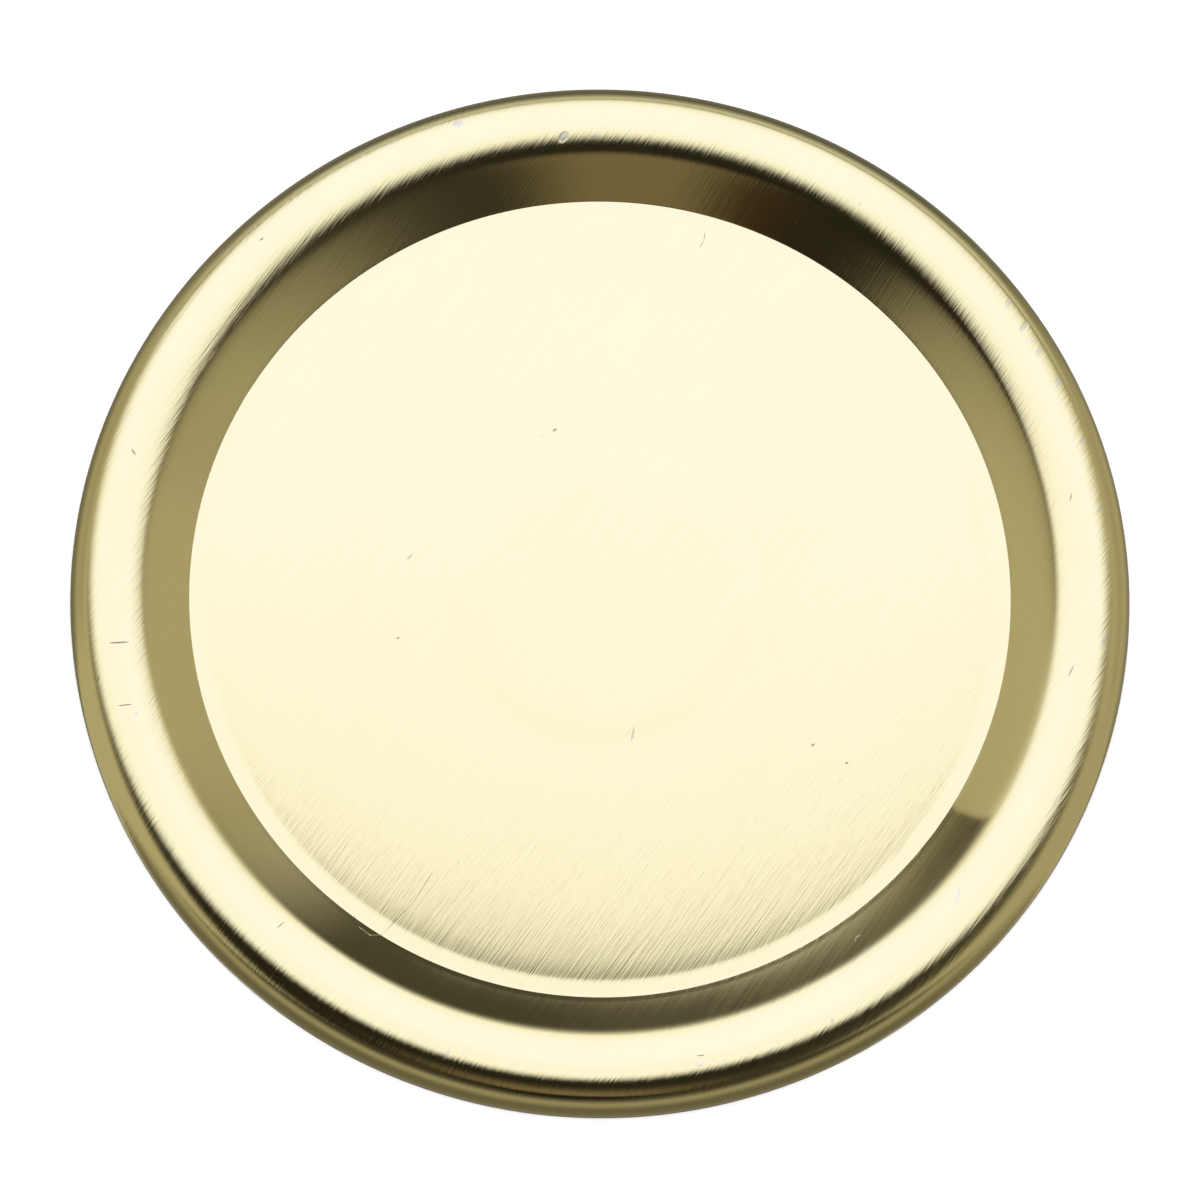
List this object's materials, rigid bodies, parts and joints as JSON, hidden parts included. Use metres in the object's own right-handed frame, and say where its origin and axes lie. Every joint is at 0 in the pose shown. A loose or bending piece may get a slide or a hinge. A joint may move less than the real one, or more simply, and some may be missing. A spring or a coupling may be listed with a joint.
{
  "type": "canning lid",
  "caption": "Flat round canning lid in gold lacquered tinplate, with a shallow domed panel, a raised rim channel and a sealing ring cast into its underside.",
  "frame": {"origin": "on the lid's axis, in the plane of the lip's cut edge, which the lid stands on when it lies face up", "axes": "+Z along the lid's axis, out of its lacquered top face; +X and +Y are any two radii, because the lid is round"},
  "size_m": [0.07, 0.07, 0.0025],
  "materials": {
    "gold_lacquer": "gold lacquer over tinplate with a straight rolling grain, glossy",
    "sealing_compound": "smooth satin plastisol"
  },
  "bodies": {
    "root": {"lid_disc": "gold_lacquer", "sealing_ring": "sealing_compound"}
  },
  "joints": []
}
